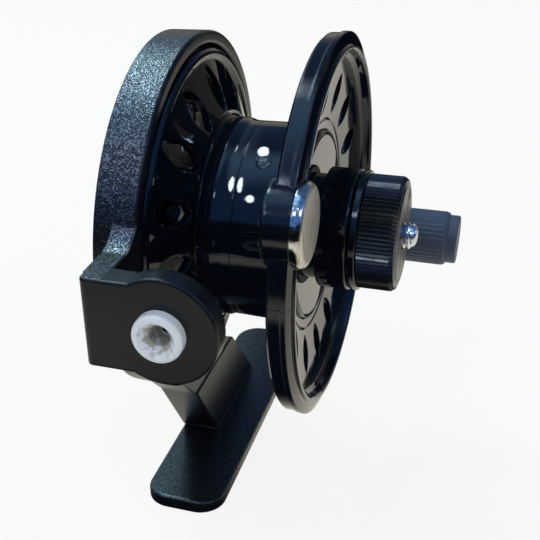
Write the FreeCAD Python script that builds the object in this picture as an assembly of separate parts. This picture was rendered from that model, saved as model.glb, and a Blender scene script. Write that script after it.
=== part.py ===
import FreeCAD, Part
import math
import os

# Ice fishing reel: an open spool on a steel spindle beside a cup shaped frame with a foot and a guide.
# Millimetres. The model is laid out about the spool axis: X runs along the spindle towards the drag knob,
# x = 0 is the line side edge of the outer flange's rim, Y points away from the line guide and Z points up.
# Every piece is then moved so that the origin is the middle of the foot's underside.

Vector = FreeCAD.Vector
AXIS = Vector(1, 0, 0)

# Clearances
running_gap = 0.05
press_gap = 0.02
face_gap = 0.1
seat_gap = 0.3

# Frame cup
frame_back_x = -25.65
cup_width = 6.6
cup_radius = 29.35
cup_draft = 0.2
cup_wall = 2.05
back_thickness = 1.8
cup_edge_round = 0.5
frame_hub_radius = 7.0
frame_hub_length = 4.75
window_count = 8
window_width = 5.6
window_inner_radius = 9.4
window_rim = 2.6
cup_front_x = frame_back_x + cup_width
cup_bore_radius = cup_radius - cup_wall
back_inner_x = frame_back_x + back_thickness
frame_hub_x = frame_back_x + frame_hub_length

# Line guide arm and its round lobe
arm_thickness = 3.65
arm_front_y = -39.5
arm_top_z = 7.15
arm_bottom_z = -6.4
arm_root_top_z = 10.15
arm_root_bottom_z = -9.4
arm_root_reach = 4.4
arm_root_sag = 0.42
arm_corner_round = 0.9
arm_edge_round = 0.35
lobe_thickness = 3.7
lobe_radius = 8.0
lobe_rear_round = 0.8
guide_offset_x = -11.4
guide_offset_z = 0.4
arm_back_x = cup_front_x - arm_thickness
lobe_back_y = arm_front_y + lobe_thickness

# Line guide ring
guide_flange_radius = 3.6
guide_flange_thickness = 1.85
guide_barrel_radius = 2.75
guide_bore_radius = 1.55
guide_mouth_flare = 1.1
guide_mouth_depth = 1.4
guide_tail = 0.6
guide_edge_round = 0.7

# Neck and foot
neck_shoulder_z = -31.4
neck_front_y = -8.0
neck_root_front_y = -16.5
neck_top_length = 20.3
neck_root_rear_y = 6.0
neck_foot_front_y = 1.8
neck_foot_length = 23.0
neck_pad_height = 0.35
neck_edge_round = 0.5
foot_width = 14.0
foot_length = 60.5
foot_front_y = -19.5
foot_thickness = 2.3
foot_crown = 0.4
foot_top_z = -46.0
foot_corner_radius = 4.5
foot_edge_round = 0.6
foot_bottom_z = foot_top_z - foot_thickness

# Spindle with its hexagon head, washer and nut
spindle_radius = 2.1
spindle_end_x = 16.4
spindle_end_round = 0.8
hex_across_flats = 7.0
head_height = 2.5
head_sunk = 0.1
spindle_washer_radius = 4.5
spindle_washer_thickness = 0.8
nut_height = 2.7
key_flat_depth = 0.5
key_flat_length = 4.8

# Spool: arbor and bearings
arbor_step_radius = 16.25
arbor_neck_radius = 15.9
arbor_root_radius = 16.1
arbor_wall = 1.6
arbor_step_x = -12.6
arbor_step_length = 1.6
arbor_seam_x = -9.6
spigot_length = 3.0
bush_radius = 3.3
bush_length = 6.0
spool_tube_radius = 5.0
spool_left_gap = 0.2
spool_web_x = -15.6
spool_web_thickness = 1.5

# Inner flange, dished into the frame cup
inner_flange_side_gap = 0.6
inner_flange_root_x = -14.9
inner_lip_round = 0.95
inner_lip_proud = 0.55
inner_hole_count = 15
inner_hole_width = 4.3
inner_hole_root_margin = 0.75
inner_hole_rim_margin = 2.3
inner_hole_angle = 60.8
inner_flange_radius = cup_bore_radius - inner_flange_side_gap
inner_lip_x = cup_front_x + inner_lip_proud - inner_lip_round
inner_lip_circle = inner_flange_radius - inner_lip_round
inner_hole_start = arbor_step_radius + inner_hole_root_margin
inner_hole_end = inner_flange_radius - inner_hole_rim_margin

# Outer flange, dished towards the arbor, and its stepped rim
rim_radius = 30.0
rim_band_step = 0.3
rim_band_x = 2.2
rim_shoulder_x = 2.95
rim_bevel_x = 3.4
rim_width = 3.8
rim_lip_drop = 1.6
rim_wall = 2.5
rim_edge = 0.35
outer_web_root_x = -0.1
outer_web_rim_x = 1.7
outer_web_fillet = 1.4
outer_web_thickness = 1.2
outer_hole_count = 16
outer_hole_width = 3.5
outer_hole_root_margin = 2.65
outer_hole_rim_margin = 3.2
centre_disc_radius = 15.35
centre_disc_x = 0.45
centre_disc_wall = 1.5
hub_neck_radius = 8.4
hub_neck_length = 1.35
hub_radius = 9.65
hub_length = 4.95
hub_edge_round = 0.3
hub_recess_radius = 7.4
hub_recess_depth = 2.6
hub_left_x = centre_disc_x + hub_neck_length
hub_face_x = hub_left_x + hub_length
hub_recess_x = hub_face_x - hub_recess_depth
outer_hole_start = centre_disc_radius + outer_hole_root_margin
outer_hole_end = rim_radius - rim_wall - outer_hole_rim_margin

# Screws that hold the two spool halves together
screw_count = 3
screw_radius = 1.0
screw_head_radius = 1.9
screw_length = 9.0
screw_boss_radius = 2.3
screw_slot_width = 0.5
screw_slot_depth = 0.5

# Lugs on the rim for the counterweight and the handle, opposite each other
lug_angle = 155.5
lug_inset = 3.9
lug_radius = 6.05
lug_left_x = -1.2
lug_face_x = 3.1
weight_radius = 6.0
weight_thickness = 1.7
weight_shank_radius = 1.6
weight_edge_round = 1.2
shank_floor = 0.7
lug_circle_radius = rim_radius - lug_inset

# Handle
handle_washer_radius = 3.9
handle_washer_thickness = 0.4
handle_radius = 4.9
handle_length = 15.8
handle_rib_count = 36
handle_rib_depth = 0.1
handle_rib_margin = 0.6
handle_shoulder_radius = 2.0
handle_thread_radius = 1.5
handle_head_radius = 3.0
handle_head_height = 1.8
handle_pocket_radius = 3.4
handle_pocket_depth = 3.7
cap_radius = 4.35
cap_length = 1.8
cap_spigot_length = 1.6
cap_edge_round = 0.35

# Drag: washers in the hub, pressure plate and knurled knob
brake_washer_thickness = 0.7
pressure_washer_thickness = 0.4
washer_margin = 0.25
washer_bore_gap = 0.25
spring_disc_thickness = 0.3
spring_disc_cone = 0.4
plate_radius = 9.6
plate_gap = 0.2
plate_thickness = 1.25
plate_boss_length = 0.6
plate_edge_round = 0.25
knob_radius = 9.1
knob_gap = 0.1
knob_length = 5.9
knob_face_radius = 7.8
knob_chamfer_length = 0.9
knob_chamfer_height = 0.4
knob_bevel_length = 0.25
knurl_count = 84
knurl_depth = 0.3
knob_recess_radius = 7.7
knob_recess_depth = 0.9
insert_height = 3.4
insert_floor = 1.2
plate_x = hub_face_x + plate_gap
knob_x = plate_x + plate_thickness + knob_gap

# Click: toothed ring on the spool, pawl on a pin in the frame, hairpin spring
click_gear_teeth = 24
click_gear_radius = 9.0
click_tooth_depth = 1.1
click_gear_left_gap = 0.5
click_gear_width = 1.6
pawl_clearance = 0.35
pawl_reach = 4.6
pawl_hub_radius = 2.1
pawl_pin_radius = 1.0
pawl_pin_head_radius = 1.7
pawl_pin_head_height = 0.45
pawl_tail_reach = 3.4
pawl_tail_width = 1.6
pawl_nose_width = 0.9
pawl_angle = 90.0
pawl_post_radius = 1.9
pawl_swing = 8.0
spring_post_reach = 5.8
spring_post_radius = 0.9
spring_post_drop = 0.5
spring_wire_radius = 0.25
spring_leg_length = 3.2
pawl_pivot_radius = click_gear_radius + pawl_reach
pawl_tail_radius = pawl_pivot_radius + pawl_tail_reach
spring_post_circle = pawl_pivot_radius + spring_post_reach


def cylinder(x_start, x_end, radius, y=0.0, z=0.0):
    """Round bar along X."""
    return Part.makeCylinder(radius, x_end - x_start, Vector(x_start, y, z), AXIS)


def turned(outline):
    """Solid turned about the spool axis from (x, radius) points."""
    points = [Vector(x, 0, radius) for x, radius in outline]
    face = Part.Face(Part.makePolygon(points + points[:1]))
    return face.revolve(Vector(0, 0, 0), AXIS, 360)


def eased_step(x_start, x_end, radius_start, radius_end):
    """Points between the two ends, from the far one back, that pass smoothly from radius to radius."""
    length = x_end - x_start
    drop = radius_start - radius_end
    points = []
    for share in (0.75, 0.5, 0.25):
        height = (1 + math.cos(math.pi * share)) / 2
        points.append((x_start + share * length, radius_end + height * drop))
    return points


def round_lip(x, radius, bend):
    """Points of a round lip about a circle, from the dish in front over the edge to the back."""
    points = []
    for angle in (-60, -30, 0, 30, 60, 90, 135, 180):
        turn = math.radians(angle)
        points.append((x + bend * math.cos(turn), radius + bend * math.sin(turn)))
    return points


def tube(x_start, x_end, outer, inner, y=0.0, z=0.0):
    """Round sleeve along X."""
    return cylinder(x_start, x_end, outer, y, z).cut(cylinder(x_start, x_end, inner, y, z))


def hexagon(x_start, x_end, across_flats):
    """Six sided bar along X."""
    corner = across_flats / math.sqrt(3)
    points = [polar(x_start, corner, 60 * step) for step in range(6)]
    return Part.Face(Part.makePolygon(points + points[:1])).extrude(Vector(x_end - x_start, 0, 0))


def polar(x, radius, degrees):
    """Point at an angle from +Y towards +Z about the spool axis."""
    angle = math.radians(degrees)
    return Vector(x, radius * math.cos(angle), radius * math.sin(angle))


def about_axis(shape, degrees):
    """Copy turned about the spool axis."""
    copy = shape.copy()
    copy.rotate(Vector(0, 0, 0), AXIS, degrees)
    return copy


def leaf(x_start, x_end, inner, outer, width):
    """Leaf shaped cutter along X, pointed at both ends, lying on +Y."""
    middle = (inner + outer) / 2
    start = Vector(x_start, inner, 0)
    end = Vector(x_start, outer, 0)
    above = Part.Arc(start, Vector(x_start, middle, width / 2), end).toShape()
    below = Part.Arc(end, Vector(x_start, middle, -width / 2), start).toShape()
    return Part.Face(Part.Wire([above, below])).extrude(Vector(x_end - x_start, 0, 0))


def ring_of(shape, count, first_angle, skipped=()):
    """Compound of copies spaced round the spool axis, leaving out those near the skipped angles."""
    pitch = 360.0 / count
    copies = []
    for index in range(count):
        angle = first_angle + index * pitch
        distances = [abs((angle - other + 180) % 360 - 180) for other in skipped]
        if all(distance > pitch / 2 for distance in distances):
            copies.append(about_axis(shape, angle))
    return Part.makeCompound(copies)


def fluted(x_start, x_end, radius, depth, count, y=0.0, z=0.0):
    """Round bar along X with straight V flutes."""
    points = []
    for step in range(2 * count):
        angle = math.pi * step / count
        reach = radius if step % 2 == 0 else radius - depth
        points.append(Vector(x_start, y + reach * math.cos(angle), z + reach * math.sin(angle)))
    return Part.Face(Part.makePolygon(points + points[:1])).extrude(Vector(x_end - x_start, 0, 0))


def tapered_flutes(x_start, x_end, radius, end_radius, depth, count):
    """V flutes that narrow with the bevel that they run over."""
    wires = []
    for x, crest in ((x_start, radius), (x_end, end_radius)):
        points = []
        for step in range(2 * count):
            reach = crest if step % 2 == 0 else crest - depth
            points.append(polar(x, reach, 180.0 * step / count))
        wires.append(Part.makePolygon(points + points[:1]))
    return Part.makeLoft(wires, True, True)


def edges_at(shape, keep):
    """Edges whose whole length passes the test."""
    found = []
    for edge in shape.Edges:
        box = edge.BoundBox
        if keep(box):
            found.append(edge)
    return found


def rounded_rims(shape, x, size, least_radius=0.0):
    """Fillet the circular edges that lie in the plane at x and reach past a radius from their middle."""
    def on_plane(box):
        return abs(box.XMin - x) < 1e-4 and abs(box.XMax - x) < 1e-4 and box.YLength > 2 * least_radius
    return shape.makeFillet(size, edges_at(shape, on_plane))


def arc_through(start, middle, end):
    return Part.Arc(start, middle, end).toShape()


def line(start, end):
    return Part.makeLine(start, end)


def arm_side_outline():
    """Side view of the arm: hollow curves run from the cup's outside to the straight part."""
    x = arm_back_x
    inside_y = -cup_bore_radius - cup_wall / 2

    def cup_y(z):
        return -math.sqrt(cup_radius ** 2 - z ** 2)

    root_top = Vector(x, cup_y(arm_root_top_z) + seat_gap, arm_root_top_z)
    root_bottom = Vector(x, cup_y(arm_root_bottom_z) + seat_gap, arm_root_bottom_z)
    top = Vector(x, root_top.y - arm_root_reach, arm_top_z)
    bottom = Vector(x, root_bottom.y - arm_root_reach, arm_bottom_z)
    top_middle = (root_top + top) / 2 + Vector(0, arm_root_sag, -arm_root_sag)
    bottom_middle = (root_bottom + bottom) / 2 + Vector(0, arm_root_sag, arm_root_sag)
    front_top = Vector(x, arm_front_y + lobe_thickness / 2, arm_top_z)
    front_bottom = Vector(x, arm_front_y + lobe_thickness / 2, arm_bottom_z)
    deep_top = Vector(x, inside_y + cup_wall, arm_root_top_z)
    deep_bottom = Vector(x, inside_y + cup_wall, arm_root_bottom_z)
    edges = [arc_through(root_top, top_middle, top), line(top, front_top), line(front_top, front_bottom),
             line(front_bottom, bottom), arc_through(bottom, bottom_middle, root_bottom),
             line(root_bottom, deep_bottom), line(deep_bottom, deep_top), line(deep_top, root_top)]
    return Part.Face(Part.Wire(edges))


def lobe():
    """Upright plate that ends in a round lobe about the line guide."""
    def rear_rim(box):
        return box.YMin > lobe_back_y - 1e-4 and box.XLength > lobe_radius

    plate = Part.makeBox(guide_offset_x - arm_back_x, lobe_thickness, arm_top_z - arm_bottom_z,
                         Vector(arm_back_x, arm_front_y, arm_bottom_z))
    middle = Vector(guide_offset_x, arm_front_y, guide_offset_z)
    disc = Part.makeCylinder(lobe_radius, lobe_thickness, middle, Vector(0, 1, 0))
    disc = disc.makeFillet(lobe_rear_round, edges_at(disc, rear_rim))
    shape = plate.fuse(disc).removeSplitter()

    def front_corner(box):
        on_arm = abs(box.XMax - arm_back_x) < 1e-4 and abs(box.YMax - arm_front_y) < 1e-4
        return box.ZLength > lobe_radius and on_arm

    def front_outline(box):
        return abs(box.YMin - arm_front_y) < 1e-4 and abs(box.YMax - arm_front_y) < 1e-4

    shape = shape.makeFillet(arm_corner_round, edges_at(shape, front_corner))
    return shape.makeFillet(arm_edge_round, edges_at(shape, front_outline))


def neck_front_foot_y():
    """Where the neck's leaning front meets the foot."""
    lean = (neck_foot_front_y - neck_front_y) / (neck_shoulder_z - foot_top_z)
    return neck_front_y + lean * (neck_shoulder_z - neck_foot_z())


def neck_foot_z():
    return foot_top_z - foot_crown


def sheet(points, thickness):
    """Flat piece of even thickness along X."""
    return Part.Face(Part.makePolygon(points + points[:1])).extrude(Vector(thickness, 0, 0))


def neck_shank(x):
    """Side view of the neck below its shoulder."""
    front = neck_front_foot_y()
    return [Vector(x, neck_front_y, neck_shoulder_z), Vector(x, front, neck_foot_z()),
            Vector(x, front + neck_foot_length, neck_foot_z()),
            Vector(x, neck_front_y + neck_top_length, neck_shoulder_z)]


def neck():
    """Leaning neck, as thick as the cup is wide, with a raised pad on its spool side."""
    root_radius = cup_radius - cup_wall / 2
    front_z = -math.sqrt(root_radius ** 2 - neck_root_front_y ** 2)
    rear_z = -math.sqrt(root_radius ** 2 - neck_root_rear_y ** 2)
    shank = neck_shank(frame_back_x)
    root = [Vector(frame_back_x, neck_root_rear_y, rear_z),
            Vector(frame_back_x, neck_root_front_y, front_z)]
    bar = sheet(shank + root, cup_width)
    pad = sheet(neck_shank(cup_front_x - neck_edge_round), neck_edge_round + neck_pad_height)
    pad_face_x = cup_front_x + neck_pad_height

    def rounded_edge(box):
        on_face = abs(box.XMin - pad_face_x) < 1e-4 and box.XLength < 1e-4
        front = box.YMax < neck_front_foot_y() + 0.1
        top = box.ZLength < 1e-4 and box.ZMin > neck_foot_z() + 1
        return on_face and (front or top)

    return bar.fuse(pad.makeFillet(neck_pad_height * 0.9, edges_at(pad, rounded_edge)))


def foot():
    """Long plate with rounded corners and a crowned top, flush with the back of the cup."""
    plate = Part.makeBox(foot_width, foot_length, foot_thickness,
                         Vector(frame_back_x, foot_front_y, foot_bottom_z))

    def upright(box):
        return box.ZLength > foot_thickness - 1e-3 and box.XLength < 1e-3 and box.YLength < 1e-3

    plate = plate.makeFillet(foot_corner_radius, edges_at(plate, upright))
    half = foot_width / 2
    crown_radius = (half ** 2 + foot_crown ** 2) / (2 * foot_crown)
    crown_axis = Vector(frame_back_x + half, foot_front_y - 1, foot_top_z - crown_radius)
    crown = Part.makeCylinder(crown_radius, foot_length + 2, crown_axis, Vector(0, 1, 0))
    plate = plate.common(crown)

    def top_edge(box):
        return box.ZMin > foot_bottom_z + foot_thickness / 3

    return plate.makeFillet(foot_edge_round, edges_at(plate, top_edge))


def frame():
    """One moulding: cup, hub, arm with lobe, neck and foot."""
    cup = turned([(frame_back_x, 0), (frame_back_x, cup_radius - cup_draft), (cup_front_x, cup_radius),
                  (cup_front_x, cup_bore_radius), (back_inner_x, cup_bore_radius), (back_inner_x, 0)])
    cup = rounded_rims(cup, cup_front_x, cup_edge_round)
    arm = arm_side_outline().extrude(Vector(arm_thickness, 0, 0))
    hub = cylinder(back_inner_x - 1, frame_hub_x, frame_hub_radius)
    body = cup.fuse([arm, lobe(), neck(), foot(), hub])
    inside = cylinder(back_inner_x, cup_front_x + lobe_radius, cup_bore_radius)
    inside = inside.cut(cylinder(back_inner_x, frame_hub_x, frame_hub_radius))
    body = body.cut(inside)
    pivot = polar(0, pawl_pivot_radius, pawl_angle)
    anchor = polar(0, spring_post_circle, pawl_angle)
    posts = [cylinder(back_inner_x - 1, pawl_post_x(), pawl_post_radius, pivot.y, pivot.z),
             cylinder(back_inner_x - 1, gear_right_x() - spring_post_drop, spring_post_radius,
                      anchor.y, anchor.z)]
    body = body.fuse(posts)
    window_outer = cup_bore_radius - window_rim
    window = leaf(frame_back_x - 1, back_inner_x + 1, window_inner_radius, window_outer, window_width)
    cuts = [ring_of(window, window_count, pawl_angle + 180.0 / window_count),
            hexagon(frame_back_x - 1, head_seat_x(), hex_across_flats + 2 * running_gap),
            cylinder(frame_back_x, frame_hub_x + 1, spindle_radius + running_gap),
            cylinder(pawl_post_x() - pawl_pin_depth(), pawl_post_x() + 1, pawl_pin_radius + press_gap,
                     pivot.y, pivot.z),
            Part.makeCylinder(guide_barrel_radius + press_gap, lobe_thickness + 2,
                              Vector(guide_offset_x, arm_front_y - 1, guide_offset_z), Vector(0, 1, 0))]
    return body.cut(cuts).removeSplitter()


def head_seat_x():
    return frame_back_x + head_sunk + head_height


def washer_x():
    return frame_hub_x


def nut_x():
    return washer_x() + spindle_washer_thickness


def spool_left_x():
    return nut_x() + nut_height + spool_left_gap


def gear_left_x():
    return frame_hub_x + click_gear_left_gap


def gear_right_x():
    return gear_left_x() + click_gear_width


def pawl_post_x():
    return gear_left_x() - face_gap


def pawl_pin_depth():
    return pawl_post_x() - back_inner_x - 0.2


def plate_boss_x():
    return plate_x - plate_boss_length


def knob_end_x():
    return knob_x + knob_length


def insert_x():
    return knob_end_x() - insert_floor - insert_height


def line_guide():
    """White ring with a flared mouth at each end, pressed through the lobe."""
    front_y = arm_front_y - guide_flange_thickness
    back_y = lobe_back_y + guide_tail
    mouth = guide_bore_radius + guide_mouth_flare
    outline = [(guide_bore_radius, front_y + guide_mouth_depth), (mouth, front_y),
               (guide_flange_radius, front_y),
               (guide_flange_radius, arm_front_y), (guide_barrel_radius, arm_front_y),
               (guide_barrel_radius, back_y), (mouth - running_gap, back_y),
               (guide_bore_radius, back_y - guide_mouth_depth)]
    points = [Vector(guide_offset_x + radius, y, guide_offset_z) for radius, y in outline]
    face = Part.Face(Part.makePolygon(points + points[:1]))
    shape = face.revolve(Vector(guide_offset_x, 0, guide_offset_z), Vector(0, 1, 0), 360)

    def front_rim(box):
        return abs(box.YMax - front_y) < 1e-4 and box.XLength > 2 * guide_flange_radius - 0.1

    return shape.makeFillet(guide_edge_round, edges_at(shape, front_rim))


def key_flat(x_start, x_end, gap):
    """Block that cuts the flat of the spindle, or leaves it standing in a keyed bore."""
    return Part.makeBox(x_end - x_start, 4 * spindle_radius, spindle_radius,
                        Vector(x_start, -2 * spindle_radius, spindle_radius - key_flat_depth + gap))


def spindle():
    """Steel screw with a hexagon head, a keyed stretch under the drag washers and a domed free end."""
    shank = cylinder(head_seat_x() - 0.5, spindle_end_x, spindle_radius)
    shank = rounded_rims(shank, spindle_end_x, spindle_end_round)
    head = hexagon(frame_back_x + head_sunk, head_seat_x(), hex_across_flats)
    start = hub_recess_x + brake_washer_thickness
    return shank.fuse(head).cut(key_flat(start, start + key_flat_length, 0)).removeSplitter()


def spindle_washer():
    return tube(washer_x(), nut_x(), spindle_washer_radius, spindle_radius + running_gap)


def spindle_nut():
    nut = hexagon(nut_x(), nut_x() + nut_height, hex_across_flats)
    bevel = turned([(nut_x(), 0), (nut_x(), hex_across_flats / 2),
                    (nut_x() + 0.4, hex_across_flats / 2 + 0.7),
                    (nut_x() + nut_height, hex_across_flats / 2 + 0.7), (nut_x() + nut_height, 0)])
    return nut.common(bevel).cut(cylinder(nut_x() - 1, nut_x() + nut_height + 1,
                                          spindle_radius + running_gap))


def inner_bush():
    return tube(spool_left_x(), spool_left_x() + bush_length, bush_radius, spindle_radius + running_gap)


def outer_bush():
    return tube(hub_recess_x - bush_length, hub_recess_x, bush_radius, spindle_radius + running_gap)


def screw_places():
    """Screw centres, on a circle that keeps their bosses clear of the spigot."""
    circle = arbor_neck_radius - 2 * arbor_wall - screw_boss_radius - seat_gap
    return [polar(0, circle, 30 + 360.0 * index / screw_count) for index in range(screw_count)]


def spool_inner_half():
    """Dished flange with a round lip, stepped end of the arbor with a spigot, web and bearing tube."""
    web_right = spool_web_x + spool_web_thickness
    spigot_radius = arbor_neck_radius - arbor_wall - press_gap
    step_end_x = arbor_step_x + arbor_step_length
    outline = [(arbor_step_x, arbor_step_radius), (inner_flange_root_x, arbor_step_radius)]
    outline += round_lip(inner_lip_x, inner_lip_circle, inner_lip_round)
    outline += [(spool_web_x, arbor_step_radius - arbor_wall), (spool_web_x, 0), (web_right, 0),
                (web_right, spigot_radius - arbor_wall),
                (arbor_seam_x + spigot_length, spigot_radius - arbor_wall),
                (arbor_seam_x + spigot_length, spigot_radius), (arbor_seam_x, spigot_radius),
                (arbor_seam_x, arbor_neck_radius), (step_end_x, arbor_neck_radius)]
    outline += eased_step(arbor_step_x, step_end_x, arbor_step_radius, arbor_neck_radius)
    shape = turned(outline)
    shape = shape.fuse(cylinder(spool_left_x(), spool_left_x() + bush_length, spool_tube_radius))
    hole = leaf(inner_lip_x - 5, web_right, inner_hole_start, inner_hole_end, inner_hole_width)
    cuts = [ring_of(hole, inner_hole_count, inner_hole_angle),
            cylinder(spool_left_x() - 1, web_right + bush_length, bush_radius + press_gap)]
    for place in screw_places():
        cuts.append(cylinder(spool_web_x - 1, web_right + 1, screw_radius + running_gap,
                             place.y, place.z))
        cuts.append(screw_head(place, running_gap))
    return shape.cut(cuts).removeSplitter()


def screw_head(place, gap):
    """Countersunk head, flush with the spool's web."""
    depth = screw_head_radius - screw_radius
    return Part.makeCone(screw_head_radius + gap, screw_radius + gap, depth,
                         Vector(spool_web_x, place.y, place.z), AXIS)


def lug_place(angle):
    return polar(0, lug_circle_radius, angle)


def rim_outline():
    """Section of the outer half: arbor, dished web, centre disc and the stepped rim."""
    crest = rim_radius + rim_band_step
    lip = rim_radius - rim_lip_drop
    rim_bore = rim_radius - rim_wall
    fillet = outer_web_fillet
    tube_bore = arbor_neck_radius - arbor_wall
    disc_bore = centre_disc_radius - centre_disc_wall
    web_back_x = outer_web_root_x - outer_web_thickness
    return [(arbor_seam_x, tube_bore), (arbor_seam_x, arbor_neck_radius), (web_back_x, arbor_root_radius),
            (0, rim_radius - 0.8), (0, rim_radius - rim_edge), (rim_edge, rim_radius),
            (rim_band_x - 0.1, rim_radius + 0.05), (rim_band_x, crest), (rim_shoulder_x, crest),
            (rim_bevel_x, lip + 0.6), (rim_bevel_x + 0.05, lip), (rim_width - 0.1, lip),
            (rim_width, lip - 0.1), (rim_width, rim_bore + 0.3), (rim_width - 0.3, rim_bore + 0.05),
            (outer_web_rim_x + fillet, rim_bore), (outer_web_rim_x + 0.5 * fillet, rim_bore - 0.13 * fillet),
            (outer_web_rim_x + 0.13 * fillet, rim_bore - 0.5 * fillet), (outer_web_rim_x, rim_bore - fillet),
            (outer_web_root_x, centre_disc_radius),
            (centre_disc_x - 0.3, centre_disc_radius), (centre_disc_x, centre_disc_radius - 0.3),
            (centre_disc_x, 0), (disc_back_x(), 0), (disc_back_x(), disc_bore), (web_back_x, tube_bore)]


def disc_back_x():
    return centre_disc_x - centre_disc_wall


def spool_outer_half():
    """Arbor, outer flange with its rim and lugs, and the hub that holds the drag washers."""
    shape = turned(rim_outline())
    hub = cylinder(hub_left_x, hub_face_x, hub_radius)
    for end in (hub_left_x, hub_face_x):
        hub = rounded_rims(hub, end, hub_edge_round)
    hub = hub.fuse(cylinder(centre_disc_x - 0.5, hub_left_x + 0.5, hub_neck_radius))
    lugs = []
    pockets = []
    for angle in (lug_angle, lug_angle - 180):
        place = lug_place(angle)
        lug = cylinder(lug_left_x, lug_face_x, lug_radius, place.y, place.z)
        lugs.append(rounded_rims(lug, lug_left_x, 0.8))
        pockets.append(cylinder(lug_face_x, rim_width + 1, weight_radius + running_gap * 4,
                                place.y, place.z))
    shape = shape.cut(Part.makeCompound(pockets))
    bosses = [cylinder(spool_web_x + spool_web_thickness, disc_back_x() + 0.5, screw_boss_radius,
                       p.y, p.z)
              for p in screw_places()]
    bearing = cylinder(hub_recess_x - bush_length, centre_disc_x, spool_tube_radius)
    shape = shape.fuse([hub, bearing] + lugs + bosses)
    web_back_x = outer_web_root_x - outer_web_thickness
    hole = leaf(web_back_x, rim_width, outer_hole_start, outer_hole_end, outer_hole_width)
    handle = lug_place(lug_angle - 180)
    weight = lug_place(lug_angle)
    cuts = [ring_of(hole, outer_hole_count, lug_angle, (lug_angle, lug_angle - 180)),
            cylinder(hub_recess_x - bush_length - 1, hub_recess_x + 1, bush_radius + press_gap),
            cylinder(hub_recess_x, hub_face_x + 1, hub_recess_radius),
            cylinder(lug_left_x + shank_floor, lug_face_x + 1, handle_thread_radius + running_gap,
                     handle.y, handle.z),
            cylinder(lug_left_x + shank_floor, lug_face_x + 1, weight_shank_radius + press_gap,
                     weight.y, weight.z)]
    for place in screw_places():
        cuts.append(cylinder(spool_web_x, spool_web_x + screw_length + 1, screw_radius + running_gap,
                             place.y, place.z))
    return shape.cut(cuts).removeSplitter()


def spool_screws():
    """Countersunk screws through the inner half's web into the outer half's bosses."""
    screws = []
    for place in screw_places():
        shank = cylinder(spool_web_x + 0.2, spool_web_x + screw_length, screw_radius, place.y, place.z)
        slot = Part.makeBox(screw_slot_depth, 2 * screw_head_radius, screw_slot_width,
                            Vector(spool_web_x, place.y - screw_head_radius,
                                   place.z - screw_slot_width / 2))
        screws.append(screw_head(place, 0).fuse(shank).cut(slot))
    return Part.makeCompound(screws)


def counterweight_disc():
    """Polished steel disc on a shank, set into the front lug."""
    place = lug_place(lug_angle)
    end = lug_face_x + weight_thickness
    disc = cylinder(lug_face_x, end, weight_radius, place.y, place.z)
    disc = rounded_rims(disc, end, weight_edge_round)
    shank = cylinder(lug_left_x + shank_floor + running_gap, lug_face_x + 0.5, weight_shank_radius,
                     place.y, place.z)
    return disc.fuse(shank).removeSplitter()


def handle_start_x():
    return lug_face_x + handle_washer_thickness


def handle_head_x():
    return handle_start_x() + face_gap + handle_length - handle_pocket_depth + face_gap


def handle_washer():
    place = lug_place(lug_angle - 180)
    return tube(lug_face_x, handle_start_x(), handle_washer_radius, handle_thread_radius + running_gap,
                place.y, place.z)


def handle_screw():
    """Shoulder screw: the handle turns on its shoulder, under a slotted head."""
    place = lug_place(lug_angle - 180)
    head_x = handle_head_x()
    shape = cylinder(lug_left_x + shank_floor + running_gap, handle_start_x() + 0.5,
                     handle_thread_radius, place.y, place.z)
    shape = shape.fuse([cylinder(handle_start_x(), head_x + 0.5, handle_shoulder_radius,
                                 place.y, place.z),
                        cylinder(head_x, head_x + handle_head_height, handle_head_radius,
                                 place.y, place.z)])
    slot = Part.makeBox(0.8, 2 * handle_head_radius, 0.8,
                        Vector(head_x + handle_head_height - 0.8, place.y - handle_head_radius,
                               place.z - 0.4))
    return shape.cut(slot).removeSplitter()


def handle_knob():
    """Ribbed sleeve that turns on the shoulder screw."""
    place = lug_place(lug_angle - 180)
    start = handle_start_x() + face_gap
    end = start + handle_length
    core = cylinder(start, end, handle_radius - handle_rib_depth, place.y, place.z)
    core = rounded_rims(core, end, 0.5)
    ribs = fluted(start + handle_rib_margin, end - handle_rib_margin, handle_radius, handle_rib_depth,
                  handle_rib_count, place.y, place.z)
    shape = core.fuse(ribs)
    bore = cylinder(start - 1, end, handle_shoulder_radius + running_gap, place.y, place.z)
    pocket = cylinder(end - handle_pocket_depth, end + 1, handle_pocket_radius, place.y, place.z)
    return shape.cut([bore, pocket]).removeSplitter()


def handle_cap():
    """Plug that closes the handle's end over the screw head."""
    place = lug_place(lug_angle - 180)
    seat = handle_start_x() + face_gap + handle_length
    disc = cylinder(seat, seat + cap_length, cap_radius, place.y, place.z)
    disc = rounded_rims(disc, seat + cap_length, cap_edge_round)
    spigot = cylinder(seat - cap_spigot_length, seat + 0.5, handle_pocket_radius - press_gap,
                      place.y, place.z)
    return disc.fuse(spigot).removeSplitter()


def brake_washer():
    """Fibre ring that turns with the spool."""
    outer = hub_recess_radius - washer_margin
    return tube(hub_recess_x, hub_recess_x + brake_washer_thickness, outer,
                spindle_radius + washer_bore_gap)


def keyed_bore(x_start, x_end):
    """Round bore with the spindle's flat left standing in it."""
    bore = cylinder(x_start, x_end, spindle_radius + running_gap)
    return bore.cut(key_flat(x_start - 1, x_end + 1, running_gap))


def pressure_washer():
    """Steel ring keyed to the spindle."""
    start = hub_recess_x + brake_washer_thickness + face_gap
    end = start + pressure_washer_thickness
    return cylinder(start, end, hub_recess_radius - washer_margin).cut(keyed_bore(start - 1, end + 1))


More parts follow.
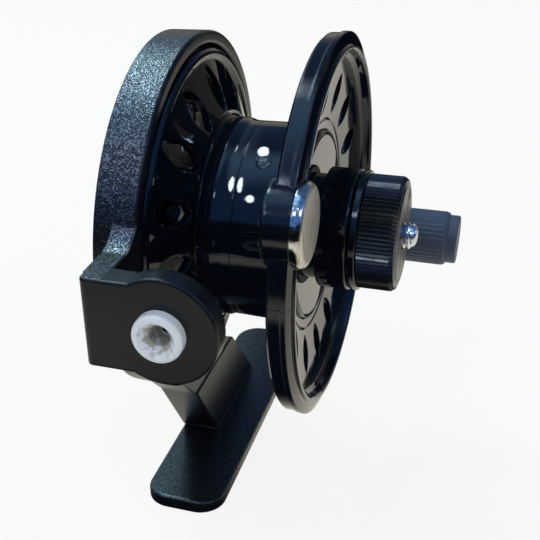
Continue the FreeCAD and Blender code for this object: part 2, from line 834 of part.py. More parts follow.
def spring_washers():
    """Two dished spring discs, rim to rim, against the pressure plate's boss."""
    inner = spindle_radius + washer_bore_gap
    outer = hub_recess_radius - 2 * washer_margin
    end = plate_boss_x()
    thick = spring_disc_thickness
    discs = []
    middle = end - thick - spring_disc_cone / 2
    right = [(end, inner), (middle + thick, outer), (middle, outer), (end - thick, inner)]
    left = [(2 * middle - x, radius) for x, radius in right]
    for outline in (right, left):
        discs.append(turned(outline))
    return Part.makeCompound(discs)


def drag_plate():
    """Glossy ring between hub and knob, keyed to the spindle, that slides as the knob is turned."""
    end = plate_x + plate_thickness
    disc = cylinder(plate_x, end, plate_radius)
    disc = rounded_rims(disc, end, plate_edge_round)
    disc = rounded_rims(disc, plate_x, plate_edge_round)
    boss = cylinder(plate_boss_x(), plate_x + 0.5, hub_recess_radius - 2 * washer_margin)
    return disc.fuse(boss).cut(keyed_bore(plate_boss_x() - 1, end + 1)).removeSplitter()


def drag_knob():
    """Knob knurled on its side and over its bevel, with a flat face and a hexagon pocket for its insert."""
    end = knob_end_x()
    bevel_start = end - knob_chamfer_length
    bevel_end = end - knob_bevel_length
    root = knob_radius - knurl_depth
    bevel_radius = knob_radius - knob_chamfer_height
    outline = [(knob_x, 0), (knob_x, root), (bevel_start, root),
               (bevel_end, bevel_radius - knurl_depth), (end, knob_face_radius), (end, 0)]
    ribs = fluted(knob_x, bevel_start, knob_radius, knurl_depth, knurl_count)
    bevel = tapered_flutes(bevel_start, bevel_end, knob_radius, bevel_radius, knurl_depth, knurl_count)
    shape = turned(outline).fuse([ribs, bevel])
    cuts = [cylinder(knob_x - 1, knob_x + knob_recess_depth, knob_recess_radius),
            hexagon(knob_x, end - insert_floor, hex_across_flats + 2 * press_gap),
            cylinder(knob_x, end + 1, spindle_radius + 2 * face_gap)]
    return shape.cut(cuts).removeSplitter()


def knob_insert():
    """Brass nut in the knob, running on the spindle's thread."""
    return hexagon(insert_x(), insert_x() + insert_height, hex_across_flats).cut(
        cylinder(insert_x() - 1, insert_x() + insert_height + 1, spindle_radius + running_gap))


def click_gear():
    """Toothed ring on the spool's bearing tube."""
    root = click_gear_radius - click_tooth_depth
    teeth = fluted(gear_left_x(), gear_right_x(), click_gear_radius, click_tooth_depth, click_gear_teeth)
    sleeve = cylinder(gear_right_x() - 0.5, spool_web_x, root)
    bore = cylinder(gear_left_x() - 1, spool_web_x + 1, spool_tube_radius + press_gap)
    return teeth.fuse(sleeve).cut(bore)


def click_pawl():
    """Small lever on a pin, its nose just clear of the teeth and its tail between the spring's legs."""
    pivot = Vector(gear_left_x(), pawl_pivot_radius, 0)
    nose = click_gear_radius + pawl_clearance
    width = gear_right_x() - gear_left_x()
    points = [Vector(pivot.x, nose, -pawl_nose_width / 2), Vector(pivot.x, pivot.y, -pawl_hub_radius),
              Vector(pivot.x, pawl_tail_radius, -pawl_tail_width / 2),
              Vector(pivot.x, pawl_tail_radius, pawl_tail_width / 2),
              Vector(pivot.x, pivot.y, pawl_hub_radius), Vector(pivot.x, nose, pawl_nose_width / 2)]
    shape = Part.Face(Part.makePolygon(points + points[:1])).extrude(Vector(width, 0, 0))
    shape = shape.fuse(cylinder(pivot.x, pivot.x + width, pawl_hub_radius, pivot.y, 0))
    bore = cylinder(pivot.x - 1, pivot.x + width + 1, pawl_pin_radius + running_gap, pivot.y, 0)
    shape = shape.cut(bore)
    return about_axis(shape.removeSplitter(), pawl_angle)


def pawl_pin():
    place = polar(0, pawl_pivot_radius, pawl_angle)
    head_x = gear_right_x() + face_gap
    pin = cylinder(pawl_post_x() - pawl_pin_depth(), head_x + 0.2, pawl_pin_radius, place.y, place.z)
    head = cylinder(head_x, head_x + pawl_pin_head_height, pawl_pin_head_radius, place.y, place.z)
    return pin.fuse(head).removeSplitter()


def click_spring():
    """Hairpin of round wire that hugs its post, with a leg on each side of the pawl's tail."""
    x = (gear_left_x() + gear_right_x()) / 2
    bend = spring_post_radius + spring_wire_radius + press_gap
    swing = math.radians(pawl_swing)
    tail_reach = pawl_tail_radius - pawl_pivot_radius
    open_half = pawl_tail_width / 2 * math.cos(swing) + tail_reach * math.sin(swing)
    leg_half = max(open_half + spring_wire_radius + face_gap, bend)
    leg_end = spring_post_circle - spring_leg_length
    top = Vector(x, spring_post_circle + bend, 0)
    left = Vector(x, spring_post_circle, -bend)
    right = Vector(x, spring_post_circle, bend)
    path = Part.Wire([line(Vector(x, leg_end, -leg_half), left), arc_through(left, top, right),
                      line(right, Vector(x, leg_end, leg_half))])
    direction = path.Edges[0].tangentAt(path.Edges[0].FirstParameter)
    circle = Part.makeCircle(spring_wire_radius, Vector(x, leg_end, -leg_half), direction)
    wire = path.makePipeShell([Part.Wire([circle])], True, True)
    return about_axis(wire, pawl_angle)


PIECES = [frame, line_guide, spindle, spindle_washer, spindle_nut, inner_bush, outer_bush,
          spool_inner_half, spool_outer_half, spool_screws, counterweight_disc,
          handle_washer, handle_screw, handle_knob, handle_cap,
          brake_washer, pressure_washer, spring_washers, drag_plate, drag_knob, knob_insert, click_gear,
          click_pawl, pawl_pin, click_spring]


def to_foot(shape):
    """Move from the spool axis to the middle of the foot's underside."""
    copy = shape.copy()
    copy.translate(Vector(-frame_back_x - foot_width / 2, -foot_front_y - foot_length / 2,
                          -foot_bottom_z))
    return copy


os.makedirs("parts", exist_ok=True)
for piece in PIECES:
    shape = to_foot(piece())
    shape.exportStep("parts/" + piece.__name__ + ".step")
    volume = round(shape.Volume, 2)
    print(piece.__name__, "solids", len(shape.Solids), "volume", volume, "valid", shape.isValid())
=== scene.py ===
import math

import bmesh
import bpy
from mathutils import Euler, Matrix, Vector


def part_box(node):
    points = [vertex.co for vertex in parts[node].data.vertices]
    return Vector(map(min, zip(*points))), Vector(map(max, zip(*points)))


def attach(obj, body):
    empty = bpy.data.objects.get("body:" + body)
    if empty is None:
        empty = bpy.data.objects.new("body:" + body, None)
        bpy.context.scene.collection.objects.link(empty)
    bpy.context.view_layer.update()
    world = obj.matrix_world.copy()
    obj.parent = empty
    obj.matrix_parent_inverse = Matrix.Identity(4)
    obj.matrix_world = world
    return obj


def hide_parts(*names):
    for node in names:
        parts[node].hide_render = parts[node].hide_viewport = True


# Ice fishing reel on its foot. Metres, +X along the spindle towards the drag knob, +Z up.

MM = 0.001
AXIS_Y = -10.75 * MM  # the spool, its drag and its spindle share this line along X
AXIS_Z = 48.3 * MM
RIM_X = 18.65 * MM    # line side edge of the outer flange's rim
WELD = 0.002 * MM     # mesh points nearer than this are one

# Settings and sockets that many nodes share
SOFT = {"interpolation_type": "SMOOTHSTEP"}  # a Map Range that eases in and out
FIRST, SECOND, BLEND = 6, 7, 2               # a colour Mix: its two colours, and its output

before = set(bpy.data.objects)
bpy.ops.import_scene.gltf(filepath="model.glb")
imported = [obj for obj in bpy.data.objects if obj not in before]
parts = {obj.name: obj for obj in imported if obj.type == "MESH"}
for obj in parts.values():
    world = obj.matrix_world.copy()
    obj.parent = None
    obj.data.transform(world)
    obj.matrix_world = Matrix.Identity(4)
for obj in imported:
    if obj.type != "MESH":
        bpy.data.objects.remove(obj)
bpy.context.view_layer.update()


# Colours and node trees

def linear(code):
    """sRGB hex to the linear colour that shader sockets hold."""
    values = []
    for start in (0, 2, 4):
        share = int(code[start:start + 2], 16) / 255
        values.append(share / 12.92 if share <= 0.04045 else ((share + 0.055) / 1.055) ** 2.4)
    return (*values, 1.0)


def add(tree, kind, inputs, **settings):
    """One node. Its inputs are values, nodes (their first output) or outputs, in order or by name."""
    node = tree.nodes.new("ShaderNode" + kind)
    for name, value in settings.items():
        setattr(node, name, value)
    sockets = inputs if isinstance(inputs, dict) else dict(enumerate(inputs))
    for socket, value in sockets.items():
        if isinstance(value, bpy.types.Node):
            value = value.outputs[0]
        if isinstance(value, bpy.types.NodeSocket):
            tree.links.new(value, node.inputs[socket])
        else:
            node.inputs[socket].default_value = value
    return node


def new_material(name, **values):
    """A named surface with its constant values on the shader's own sockets."""
    material = bpy.data.materials.new(name)
    material.use_nodes = True
    tree = material.node_tree
    shader = tree.nodes["Principled BSDF"]
    for socket, value in values.items():
        shader.inputs[socket.replace("_", " ")].default_value = value
    place = add(tree, "TexCoord", ()).outputs["Object"]
    return material, tree, shader, place


def join(tree, shader, **sources):
    """Leads nodes (their first output) or outputs into the shader's sockets."""
    for socket, source in sources.items():
        if isinstance(source, bpy.types.Node):
            source = source.outputs[0]
        tree.links.new(source, shader.inputs[socket.replace("_", " ")])


def per_mm(size):
    """Texture scale that gives features of that size in millimetres."""
    return 1000.0 / size


def away_from(tree, place, point):
    """Distance of the surface from a point, in metres."""
    offset = add(tree, "VectorMath", (place, point), operation="SUBTRACT")
    return add(tree, "VectorMath", (offset,), operation="LENGTH").outputs["Value"]


def from_axis(tree, place):
    """Distance from the spool's axis, in metres."""
    flat = add(tree, "VectorMath", (place, (0.0, 1.0, 1.0)), operation="MULTIPLY")
    return away_from(tree, flat, (0.0, AXIS_Y, AXIS_Z))


def outward(tree):
    """Which way the solid's own face looks along the spindle: 1 towards the knob, -1 away from it."""
    facing = add(tree, "NewGeometry", ()).outputs["True Normal"]
    return add(tree, "SeparateXYZ", (facing,)).outputs["X"]


def relief(tree, height, depth, edge):
    """Normal of a surface raised by height times depth, its edges rounded to a radius; both in mm."""
    soft = add(tree, "Bevel", {"Radius": edge * MM}, samples=4)
    return add(tree, "Bump", {"Height": height, "Distance": depth * MM, "Strength": 1.0, "Normal": soft})


def dust(tree, place, size, share):
    """Sparse specks of dust of a size in mm: 1 on a speck, 0 between them."""
    cells = add(tree, "TexVoronoi", {"Vector": place, "Scale": per_mm(size * 8)})
    least = 1.0 - share
    chosen = add(tree, "MapRange", (cells.outputs["Color"], least, least + 0.01, 0.0, 1.0), **SOFT)
    near = add(tree, "MapRange", (cells.outputs["Distance"], 0.04, 0.07, 1.0, 0.0), **SOFT)
    return add(tree, "Math", (chosen, near), operation="MULTIPLY")


# Materials

def spark_nylon():
    """Black nylon from a spark-eroded mould: glittering grain outside, satin on the lobe and the rim."""
    material, tree, shader, place = new_material("moulded nylon", IOR=1.5)
    x, y, z = add(tree, "SeparateXYZ", (place,)).outputs
    left_of_rim = add(tree, "MapRange", (x, -0.9 * MM, -0.6 * MM, 1.0, 0.0), **SOFT)
    behind_face = add(tree, "MapRange", (y, -50.1 * MM, -49.9 * MM, 0.0, 1.0), **SOFT)
    on_foot = add(tree, "MapRange", (z, 2.4 * MM, 3.4 * MM, 0.45, 0.0), **SOFT)
    off_neck = add(tree, "MapRange", (z, 17.0 * MM, 19.0 * MM, 0.0, 1.0), **SOFT)
    beside = add(tree, "Math", (left_of_rim, behind_face), operation="MULTIPLY")
    outside = add(tree, "Math", (beside, off_neck), operation="MULTIPLY")
    grained = add(tree, "Math", (outside, on_foot), operation="MAXIMUM")

    # Real spark grain is near 0.05 mm, too fine to show, so it is drawn about three times as coarse
    grain = add(tree, "TexNoise", {"Vector": place, "Scale": per_mm(0.17), "Detail": 2.0})
    pits = add(tree, "TexVoronoi", {"Vector": place, "Scale": per_mm(0.2)})
    pitted = add(tree, "Math", (grain, pits), operation="ADD")
    deep = add(tree, "Math", (pitted, grained), operation="MULTIPLY")
    waves = add(tree, "TexNoise", {"Vector": place, "Scale": per_mm(6.0), "Detail": 1.0})
    sunk = add(tree, "Math", (waves, 0.8), operation="MULTIPLY")
    height = add(tree, "Math", (deep, sunk), operation="ADD")

    # Some facets of the grain catch the light and others lose it
    facet = add(tree, "MapRange", (pits.outputs["Color"], 0.3, 0.95, -0.4, 1.5), **SOFT)
    glint = add(tree, "Math", (facet, grained), operation="MULTIPLY")
    lifted = add(tree, "Math", (glint, 0.42), operation="ADD")
    brighter = add(tree, "Math", (grained, 0.28), operation="MULTIPLY")
    shine = add(tree, "Math", (lifted, brighter), operation="ADD")
    rough = add(tree, "MapRange", (grained, 0.0, 1.0, 0.3, 0.24), **SOFT)
    specks = dust(tree, place, 0.16, 0.05)
    colour = add(tree, "Mix", {0: specks, FIRST: linear("0E1115"), SECOND: linear("8C9096")},
                 data_type="RGBA")
    join(tree, shader, Normal=relief(tree, height, 0.036, 0.4), Roughness=rough,
         Specular_IOR_Level=shine, Base_Color=colour.outputs[BLEND])
    return material


def parting_line(tree, place):
    """Fine raised line where the mould halves met, level with the spindle on the front of the spool."""
    y, z = add(tree, "SeparateXYZ", (place,)).outputs[1:]
    above = add(tree, "Math", (z, AXIS_Z + 0.8 * MM), operation="SUBTRACT")
    off = add(tree, "Math", (above,), operation="ABSOLUTE")
    line = add(tree, "MapRange", (off, 0.03 * MM, 0.09 * MM, 0.22, 0.0), **SOFT)
    in_front = add(tree, "MapRange", (y, AXIS_Y - 12 * MM, AXIS_Y - 11 * MM, 1.0, 0.0), **SOFT)
    return add(tree, "Math", (line, in_front), operation="MULTIPLY")


def ejector_mark(tree, place):
    """Shallow ring that a pin left in the arbor when it was pushed out of the mould, torn inside."""
    away = away_from(tree, place, (12.45 * MM, -19.55 * MM, 61.7 * MM))
    inner = add(tree, "MapRange", (away, 0.85 * MM, 1.0 * MM, 0.0, 1.0), **SOFT)
    outer = add(tree, "MapRange", (away, 1.05 * MM, 1.25 * MM, 1.0, 0.0), **SOFT)
    rags = add(tree, "TexNoise", {"Vector": place, "Scale": per_mm(0.5), "Detail": 3.0})
    within = add(tree, "Math", (rags, outer), operation="MULTIPLY")
    torn = add(tree, "Math", (within, 0.7), operation="MULTIPLY")
    edge = add(tree, "Math", (inner, outer), operation="MULTIPLY")
    ring = add(tree, "Math", (edge, 0.35), operation="MULTIPLY")
    return add(tree, "Math", (ring, torn), operation="ADD")


def shrinkage(tree, place):
    """How the walls drew in as they cooled, in mm: a barrel along the arbor, a flatter flange web."""
    arbor_middle, barrel_radius = 11.65 * MM, 80 * MM
    x = add(tree, "SeparateXYZ", (place,)).outputs["X"]
    reach = from_axis(tree, place)
    below_web = add(tree, "MapRange", (reach, 16.6 * MM, 17.2 * MM, 1.0, 0.0), **SOFT)
    off_neck = add(tree, "MapRange", (reach, 14.4 * MM, 15.0 * MM, 0.0, 1.0), **SOFT)
    on_arbor = add(tree, "Math", (below_web, off_neck), operation="MULTIPLY")
    along = add(tree, "Math", (x, arbor_middle), operation="SUBTRACT")
    squared = add(tree, "Math", (along, along), operation="MULTIPLY")
    drawn = add(tree, "Math", (squared, on_arbor), operation="MULTIPLY")
    barrel = add(tree, "Math", (drawn, -1000.0 / (2 * barrel_radius)), operation="MULTIPLY")

    in_front = add(tree, "MapRange", (outward(tree), 0.4, 0.7, 0.0, 1.0), **SOFT)
    right_half = add(tree, "MapRange", (x, RIM_X - 4.5 * MM, RIM_X - 4.0 * MM, 0.0, 1.0), **SOFT)
    fall = add(tree, "MapRange", (reach, 15.4 * MM, 27.0 * MM, 0.3, -0.3))
    facing = add(tree, "Math", (fall, in_front), operation="MULTIPLY")
    flatter = add(tree, "Math", (facing, right_half), operation="MULTIPLY")
    return add(tree, "Math", (barrel, flatter), operation="ADD")


def gloss_abs(name, colour, roughness, ripple, edge, face):
    """Black ABS from a polished mould: gloss that ripples where the wall has sunk, with dust.

    Ripple and edge are in mm. Face multiplies the roughness of faces that look towards the knob.
    """
    material, tree, shader, place = new_material(name, IOR=1.5)
    sinks = add(tree, "TexNoise", {"Vector": place, "Scale": per_mm(6.5), "Detail": 1.0})
    waves = add(tree, "Math", (sinks, 0.18), operation="MULTIPLY")
    smears = add(tree, "TexNoise", {"Vector": place, "Scale": per_mm(0.8), "Detail": 3.0})
    wipes = add(tree, "Math", (smears, 0.012), operation="MULTIPLY")
    sunk = add(tree, "Math", (shrinkage(tree, place), 1.0 / ripple), operation="MULTIPLY")
    height = waves
    for more in (wipes, sunk, parting_line(tree, place), ejector_mark(tree, place)):
        height = add(tree, "Math", (height, more), operation="ADD")

    film = add(tree, "TexNoise", {"Vector": place, "Scale": per_mm(4.0), "Detail": 5.0})
    hazy = add(tree, "MapRange", (film, 0.35, 0.75, roughness * 0.8, roughness * 1.7), **SOFT)
    on_rim = add(tree, "MapRange", (from_axis(tree, place), 29.2 * MM, 29.7 * MM, 0.0, 0.08), **SOFT)
    spread = add(tree, "Math", (hazy, on_rim), operation="ADD")
    lapped = add(tree, "MapRange", (outward(tree), 0.9, 0.97, 1.0, face), **SOFT)
    rough = add(tree, "Math", (spread, lapped), operation="MULTIPLY")
    specks = dust(tree, place, 0.14, 0.06)
    tint = add(tree, "Mix", {0: specks, FIRST: linear(colour), SECOND: linear("9A9EA2")},
               data_type="RGBA")
    join(tree, shader, Normal=relief(tree, height, ripple, edge), Roughness=rough,
         Base_Color=tint.outputs[BLEND])
    return material


def matt_plastic(name, colour, roughness, grain, depth):
    """Moulded plastic whose fine even grain spreads the light, drawn coarser than it is so it shows."""
    material, tree, shader, place = new_material(
        name, Base_Color=linear(colour), Roughness=roughness, IOR=1.48)
    noise = add(tree, "TexNoise", {"Vector": place, "Scale": per_mm(grain), "Detail": 3.0})
    join(tree, shader, Normal=relief(tree, noise, depth, 0.12))
    return material


def metal(name, colour, roughness, scratch):
    """Turned or stamped metal: fine scratches vary its gloss, drawn coarser than they are to show."""
    material, tree, shader, place = new_material(
        name, Base_Color=linear(colour), Metallic=1.0)
    marks = add(tree, "TexNoise", {"Vector": place, "Scale": per_mm(scratch), "Detail": 4.0})
    rough = add(tree, "MapRange", (marks, 0.3, 0.7, roughness * 0.7, roughness * 1.4), **SOFT)
    join(tree, shader, Roughness=rough)
    return material


def tumbled_nickel():
    """Nickelled steel: small dents from tumbling on a bright side, and a face rubbed up and down."""
    material, tree, shader, place = new_material("nickel plated steel", Metallic=1.0)
    x = add(tree, "SeparateXYZ", (place,)).outputs["X"]
    on_face = add(tree, "MapRange", (x, 22.9 * MM, 23.3 * MM, 0.0, 1.0), **SOFT)
    dents = add(tree, "TexNoise", {"Vector": place, "Scale": per_mm(1.1), "Detail": 2.0})
    drawn = add(tree, "Mapping", {"Vector": place, "Scale": (1.0, 3.2, 0.22)})
    rubbed = add(tree, "TexNoise", {"Vector": drawn, "Scale": per_mm(0.9), "Detail": 4.0})
    worn = add(tree, "Math", (rubbed, on_face), operation="MULTIPLY")
    rubs = add(tree, "Math", (worn, 2.2), operation="MULTIPLY")
    height = add(tree, "Math", (dents, rubs), operation="ADD")
    rough = add(tree, "MapRange", (on_face, 0.0, 1.0, 0.12, 0.36), **SOFT)
    tarnish = add(tree, "MapRange", (rubbed, 0.35, 0.7, 0.0, 1.0), **SOFT)
    colour = add(tree, "Mix", {0: tarnish, FIRST: linear("D9D8D4"), SECOND: linear("B9B2A4")},
                 data_type="RGBA")
    join(tree, shader, Normal=relief(tree, height, 0.05, 0.3), Roughness=rough,
         Base_Color=colour.outputs[BLEND])
    return material


def sintered_ceramic():
    """White sintered ceramic, satin and pitted, with tan dirt rubbed into its mouth."""
    mouth_x, mouth_z = 7.25 * MM, 48.7 * MM
    material, tree, shader, place = new_material("sintered ceramic", Roughness=0.34, IOR=1.6)
    split = add(tree, "SeparateXYZ", (place,)).outputs
    aside = add(tree, "Math", (split["X"], mouth_x), operation="SUBTRACT")
    above = add(tree, "Math", (split["Z"], mouth_z), operation="SUBTRACT")
    spot = add(tree, "CombineXYZ", {"X": aside, "Z": above})
    away = add(tree, "VectorMath", (spot,), operation="LENGTH").outputs["Value"]
    mottle = add(tree, "TexNoise", {"Vector": place, "Scale": per_mm(0.9), "Detail": 6.0})
    shift = add(tree, "MapRange", (mottle, 0.3, 0.75, -0.75 * MM, 0.75 * MM), **SOFT)
    edge = add(tree, "Math", (away, shift), operation="ADD")
    clean = add(tree, "MapRange", (edge, 1.35 * MM, 2.5 * MM, 0.0, 1.0), **SOFT)
    stained = add(tree, "Mix", {0: clean, FIRST: linear("B3AEA4"), SECOND: linear("F3F6F9")},
                  data_type="RGBA")

    # Grit caught in the lower half, next to the mouth
    grit = add(tree, "TexNoise", {"Vector": place, "Scale": per_mm(0.22), "Detail": 3.0})
    low_half = add(tree, "MapRange", (above, -2.4 * MM, 0.6 * MM, 1.0, 0.0), **SOFT)
    near_mouth = add(tree, "MapRange", (away, 2.0 * MM, 3.3 * MM, 1.0, 0.0), **SOFT)
    dotted = add(tree, "MapRange", (grit, 0.6, 0.68, 0.0, 0.8), **SOFT)
    caught = add(tree, "Math", (dotted, near_mouth), operation="MULTIPLY")
    dots = add(tree, "Math", (caught, low_half), operation="MULTIPLY")
    colour = add(tree, "Mix", {0: dots, FIRST: stained.outputs[BLEND], SECOND: linear("57524A")},
                 data_type="RGBA")
    pits = add(tree, "TexNoise", {"Vector": place, "Scale": per_mm(0.35), "Detail": 4.0})
    bump = add(tree, "Bump", {"Height": pits, "Distance": 0.04 * MM, "Strength": 0.6})
    join(tree, shader, Normal=bump, Base_Color=colour.outputs[BLEND])
    return material


black_nylon = spark_nylon()
# Long clear highlights on the arbor and the rounded lips, clearest on the hub's lapped face
polished_abs = gloss_abs("polished ABS", "0A0F19", 0.03, 0.16, 0.3, 0.5)
# A flat ring: an even mirror, a little hazy
plate_abs = gloss_abs("polished ABS, flat", "0A0F19", 0.09, 0.02, 0.15, 1.0)
# Broad dim highlights on the flutes, and a duller face between crisp edges
knob_abs = gloss_abs("satin ABS", "14171C", 0.2, 0.02, 0.03, 1.9)
# Slate grey from a blasted cavity: hardly a highlight
handle_plastic = matt_plastic("matt polypropylene", "434F62", 0.5, 0.5, 0.02)
ceramic = sintered_ceramic()
nickelled_steel = tumbled_nickel()
# Pale bluish grey with a soft sheen
zinc_steel = metal("zinc plated steel", "DDE4EA", 0.28, 1.2)
# Rolled and tempered: darker and sharper than zinc
spring_steel = metal("spring steel", "B4B2AC", 0.22, 1.0)
# Warm yellow with clear highlights
turned_brass = metal("turned brass", "C9A25A", 0.22, 1.0)
# Ivory, or black where it is dyed, with a waxy sheen
acetal = matt_plastic("natural acetal", "D8D4C6", 0.4, 1.0, 0.02)
black_acetal = matt_plastic("black acetal", "101114", 0.4, 1.0, 0.02)
# Pressed card, brick red and dull
red_fibre = matt_plastic("vulcanised fibre", "7A3A26", 0.6, 0.4, 0.04)

FINISH = {
    "frame": black_nylon,
    "line_guide": ceramic,
    "spindle": zinc_steel,
    "spindle_washer": zinc_steel,
    "spindle_nut": zinc_steel,
    "inner_bush": turned_brass,
    "outer_bush": turned_brass,
    "spool_inner_half": polished_abs,
    "spool_outer_half": polished_abs,
    "spool_screws": zinc_steel,
    "counterweight_disc": nickelled_steel,
    "handle_washer": black_acetal,
    "handle_screw": zinc_steel,
    "handle_knob": handle_plastic,
    "handle_cap": handle_plastic,
    "brake_washer": red_fibre,
    "pressure_washer": zinc_steel,
    "spring_washers": spring_steel,
    "drag_plate": plate_abs,
    "drag_knob": knob_abs,
    "knob_insert": turned_brass,
    "click_gear": acetal,
    "click_pawl": acetal,
    "pawl_pin": zinc_steel,
    "click_spring": spring_steel,
}
for name, material in FINISH.items():
    parts[name].data.materials.clear()
    parts[name].data.materials.append(material)


# Spindle with its rolled thread

def finished(shape, name, material):
    """Scene object from a closed shape: doubles merged, faces outward, small angles shaded smooth."""
    sharp = math.radians(32)
    bmesh.ops.remove_doubles(shape, verts=shape.verts, dist=WELD)
    bmesh.ops.recalc_face_normals(shape, faces=shape.faces)
    mesh = bpy.data.meshes.new(name)
    shape.to_mesh(mesh)
    shape.free()
    mesh.materials.append(material)
    mesh.shade_smooth()
    mesh.set_sharp_from_angle(angle=sharp)
    piece = bpy.data.objects.new(name, mesh)
    bpy.context.scene.collection.objects.link(piece)
    return piece


def spun_about_spindle(shape, outline, steps):
    """Adds a body turned about the spindle's axis from (x, radius) points that start and end on it."""
    verts = [shape.verts.new((x, AXIS_Y, AXIS_Z + radius)) for x, radius in outline]
    edges = [shape.edges.new(pair) for pair in zip(verts, verts[1:])]
    bmesh.ops.spin(shape, geom=verts + edges, cent=(0, AXIS_Y, AXIS_Z), axis=(1, 0, 0),
                   angle=math.tau, steps=steps, use_merge=True)


def threaded_spindle():
    """The head and keyed shank as they are, and a free end with a rolled thread and a domed tip."""
    pitch = 0.8 * MM
    crest, root = 2.1 * MM, 1.72 * MM
    thread_start = RIM_X + 9.7 * MM
    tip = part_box("spindle")[1][0]
    dome, dome_steps, tip_flat = 0.75 * MM, 5, 0.3 * MM
    shape = bmesh.new()
    shape.from_mesh(parts["spindle"].data)
    bmesh.ops.remove_doubles(shape, verts=shape.verts, dist=WELD)
    geometry = shape.verts[:] + shape.edges[:] + shape.faces[:]
    bmesh.ops.bisect_plane(shape, geom=geometry, plane_co=(thread_start, 0, 0), plane_no=(1, 0, 0),
                           clear_outer=True)
    bmesh.ops.holes_fill(shape, edges=[edge for edge in shape.edges if edge.is_boundary])

    # Core of the thread, set a little into the shank
    overlap = 0.15 * MM
    outline = [(thread_start - overlap, 0), (thread_start - overlap, root), (tip - dome, root)]
    for step in range(1, dome_steps + 1):
        angle = math.pi / 2 * step / dome_steps
        fall = (root - tip_flat) * (1 - math.cos(angle))
        outline.append((tip - dome + dome * math.sin(angle), root - fall))
    outline.append((tip, 0))
    spun_about_spindle(shape, outline, 40)

    # One ridge with a flat crest winds along the core and ends half way over the dome
    steps_per_turn = 32
    turns = (tip - dome * 0.55 - thread_start) / pitch - 1
    sunk = root - 0.05 * MM
    flank = [(0.06, sunk), (0.42, crest), (0.58, crest), (0.94, sunk)]
    ridge = [shape.verts.new((thread_start + share * pitch, AXIS_Y, AXIS_Z + radius))
             for share, radius in flank]
    face = shape.faces.new(ridge)
    steps = round(turns * steps_per_turn)
    bmesh.ops.spin(shape, geom=[face] + face.edges[:] + ridge, cent=(0, AXIS_Y, AXIS_Z),
                   axis=(1, 0, 0), dvec=(pitch / steps_per_turn, 0, 0),
                   angle=math.tau * steps / steps_per_turn, steps=steps, use_merge=False)
    # The spin carries its first face to the ridge's end, so the start is closed by one like it
    shape.faces.new([shape.verts.new(vert.co) for vert in ridge])
    piece = finished(shape, "spindle_with_thread", zinc_steel)
    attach(piece, "frame")
    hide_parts("spindle")


# Camera, floor, lamps

def camera():
    """The photograph's view: place, turn, lens and shift were fitted to the outlines of the reel."""
    stand = Vector((49.32, -147.13, 111.90)) * MM
    degrees = (60.135, 1.188, 17.806)
    lens = bpy.data.cameras.new("view")
    lens.sensor_width = 36.0
    lens.lens = 62.73
    lens.shift_x = 0.0735
    lens.shift_y = 0.0817
    lens.clip_start = 0.01
    lens.clip_end = 10.0
    seat = bpy.data.objects.new("view", lens)
    bpy.context.scene.collection.objects.link(seat)
    turn = Euler([math.radians(angle) for angle in degrees], "XYZ")
    seat.matrix_world = Matrix.Translation(stand) @ turn.to_matrix().to_4x4()
    bpy.context.scene.camera = seat


def floor():
    """Pale board: white behind the reel with its soft shadow; in the gloss a painted warm lit table with
    painted shade.
    """
    shape = bmesh.new()
    bmesh.ops.create_circle(shape, cap_ends=True, segments=96, radius=2.5)
    mesh = bpy.data.meshes.new("floor")
    shape.to_mesh(mesh)
    shape.free()
    ground = bpy.data.objects.new("floor", mesh)
    bpy.context.scene.collection.objects.link(ground)
    material = bpy.data.materials.new("painted board")
    material.use_nodes = True
    tree = material.node_tree
    tree.nodes.clear()
    place = add(tree, "TexCoord", ()).outputs["Object"]
    y = add(tree, "SeparateXYZ", (place,)).outputs["Y"]
    path = add(tree, "LightPath", ())
    shown = add(tree, "Math", (path.outputs["Is Camera Ray"], path.outputs["Is Transmission Ray"]),
                operation="MAXIMUM")
    mirrored = path.outputs["Is Glossy Ray"]

    # Painted shade in what the gloss shows of the table: dark past its front edge and far off, and a
    # painted shadow under the reel
    past_table = add(tree, "MapRange", (y, -0.26, -0.19, 1.0, 0.0), **SOFT)
    from_reel = away_from(tree, place, (0.005, -0.065, 0.0))
    painted_shadow_under_reel = add(tree, "MapRange", (from_reel, 0.035, 0.06, 1.0, 0.0), **SOFT)
    from_table = away_from(tree, place, (0.03, 0.05, 0.0))
    far_off = add(tree, "MapRange", (from_table, 0.17, 0.26, 0.0, 1.0), **SOFT)
    near_dark = add(tree, "Math", (past_table, painted_shadow_under_reel), operation="MAXIMUM")
    unlit = add(tree, "Math", (near_dark, far_off), operation="MAXIMUM")
    dark = add(tree, "Math", (unlit, mirrored), operation="MULTIPLY")
    # For the gloss, the board's colour goes near black where that painted shade lies
    tint = add(tree, "Mix", {0: dark, FIRST: linear("F2EADC"), SECOND: linear("0C0D10")},
               data_type="RGBA")

    board = add(tree, "BsdfDiffuse", {"Color": tint.outputs[BLEND]})
    white = add(tree, "Emission", {"Color": linear("FFFFFF"), "Strength": 1.0})
    # Painted light: in the gloss the board glows warm like a lit table, except where the painted shade
    # lies
    painted_table_glow = add(tree, "Emission", {"Color": linear("F4ECDD"), "Strength": 1.0})
    bright = add(tree, "Math", (shown, 0.86), operation="MULTIPLY")
    lit = add(tree, "Math", (mirrored, dark), operation="SUBTRACT")
    painted_glow_share = add(tree, "Math", (lit, 0.75), operation="MULTIPLY")
    mixed = add(tree, "MixShader", (bright, board, white))
    glossed = add(tree, "MixShader", (painted_glow_share, mixed, painted_table_glow))
    add(tree, "OutputMaterial", (glossed,))
    mesh.materials.append(material)


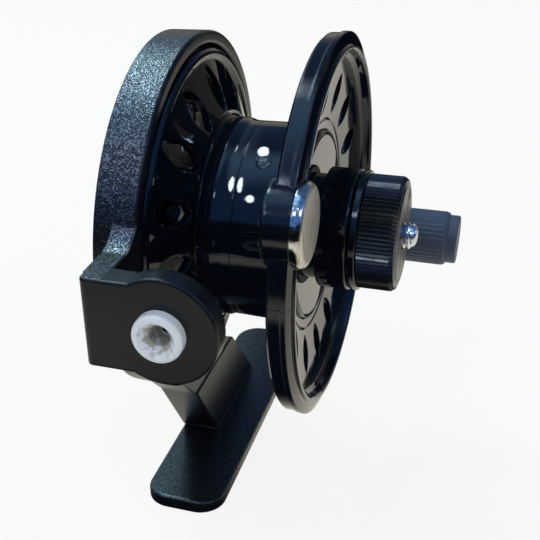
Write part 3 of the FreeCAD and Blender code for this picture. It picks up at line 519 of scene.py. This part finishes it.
def surroundings():
    """Even light and a white background. The gloss shows a dim room: blue sky in front, walls behind."""
    deep_sky, pale_sky = (0.07, 0.2, 0.55, 1.0), (0.5, 0.95, 1.6, 1.0)
    dark_front = (0.008, 0.012, 0.022, 1.0)
    upper_wall, upper_left = (0.05, 0.11, 0.24, 1.0), (0.4, 0.68, 0.9, 1.0)
    lower_wall, lower_right = (0.36, 0.33, 0.29, 1.0), (0.12, 0.11, 0.1, 1.0)
    brightest = Vector((-0.47, 0.2, 0.86)).normalized()
    world = bpy.data.worlds.new("room")
    bpy.context.scene.world = world
    world.use_nodes = True
    tree = world.node_tree
    tree.nodes.clear()
    path = add(tree, "LightPath", ())
    direction = add(tree, "TexCoord", ()).outputs["Generated"]
    x, y, z = add(tree, "SeparateXYZ", (direction,)).outputs

    toward = add(tree, "VectorMath", (direction, brightest), operation="DOT_PRODUCT")
    glow = add(tree, "MapRange", (toward.outputs["Value"], 0.7, 0.99, 0.0, 1.0), **SOFT)
    sky = add(tree, "Mix", {0: glow, FIRST: deep_sky, SECOND: pale_sky}, data_type="RGBA")
    risen = add(tree, "MapRange", (z, 0.25, 0.34, 0.0, 1.0), **SOFT)
    ahead = add(tree, "Mix", {0: risen, FIRST: dark_front, SECOND: sky.outputs[BLEND]},
                data_type="RGBA")

    high = add(tree, "MapRange", (z, 0.12, 0.45, 0.0, 1.0), **SOFT)
    left = add(tree, "MapRange", (x, -0.42, -0.28, 1.0, 0.0), **SOFT)
    upper = add(tree, "Mix", {0: left, FIRST: upper_wall, SECOND: upper_left}, data_type="RGBA")
    right = add(tree, "MapRange", (x, 0.2, 0.4, 0.0, 1.0), **SOFT)
    lower = add(tree, "Mix", {0: right, FIRST: lower_wall, SECOND: lower_right}, data_type="RGBA")
    wall = add(tree, "Mix", {0: high, FIRST: lower.outputs[BLEND], SECOND: upper.outputs[BLEND]},
               data_type="RGBA")
    behind = add(tree, "MapRange", (y, 0.05, 0.4, 0.0, 1.0), **SOFT)
    room = add(tree, "Mix", {0: behind, FIRST: ahead.outputs[BLEND], SECOND: wall.outputs[BLEND]},
               data_type="RGBA")

    even = add(tree, "Background", (linear("E9F0F8"), 0.5))
    seen = add(tree, "Background", (linear("FFFFFF"), 1.0))
    mirrored = add(tree, "Background", (room.outputs[BLEND], 1.0))
    base = add(tree, "MixShader", (path.outputs["Is Glossy Ray"], even, mirrored))
    shown = add(tree, "Math", (path.outputs["Is Camera Ray"], path.outputs["Is Transmission Ray"]),
                operation="MAXIMUM")
    full = add(tree, "MixShader", (shown, base, seen))
    add(tree, "OutputWorld", (full,))


def lamp(name, direction, wide, high, radiance, colour):
    """Soft oval that faces the reel, its width level with the spindle: brightness gives its power."""
    distance = 0.8
    light = bpy.data.lights.new(name, "AREA")
    light.shape = "ELLIPSE"
    light.size = wide
    light.size_y = high
    light.energy = radiance * math.pi * wide * high * math.pi / 4
    light.color = linear(colour)[:3]
    seat = bpy.data.objects.new(name, light)
    bpy.context.scene.collection.objects.link(seat)
    away = Vector(direction).normalized()
    middle = Vector((5 * MM, -8 * MM, 42 * MM))
    side = (Vector((1, 0, 0)) - away * away.x).normalized()
    turn = Matrix((side, away.cross(side), away)).transposed().to_4x4()
    seat.matrix_world = Matrix.Translation(middle + away * distance) @ turn


# Name, direction from the reel, width and height in metres, brightness, colour
LAMPS = (
    ("skylight", (-0.45, 0.36, 0.82), 0.17, 0.30, 17.0, "C4EDFF"),
    ("window above", (-0.275, 0.277, 0.921), 0.03, 0.20, 26.0, "E2F0FF"),
    ("window left, upper", (-0.354, -0.45, 0.82), 0.022, 0.24, 30.0, "E2F0FF"),
    ("window left, lower", (-0.297, -0.665, 0.686), 0.03, 0.11, 30.0, "E2F0FF"),
    ("window front", (-0.09, -0.62, 0.78), 0.06, 0.16, 20.0, "D8EAFF"),
    ("lamp above", (0.24, -0.45, 0.86), 0.04, 0.10, 18.0, "D8EAFF"),
    ("window right", (0.76, -0.29, 0.59), 0.10, 0.12, 12.0, "D2E2FF"),
    ("window far right", (0.84, 0.53, 0.09), 0.16, 0.10, 6.0, "C4D8FF"),
)

camera()
floor()
surroundings()
threaded_spindle()
for lamp_settings in LAMPS:
    lamp(*lamp_settings)
bpy.context.scene.view_settings.view_transform = "Standard"
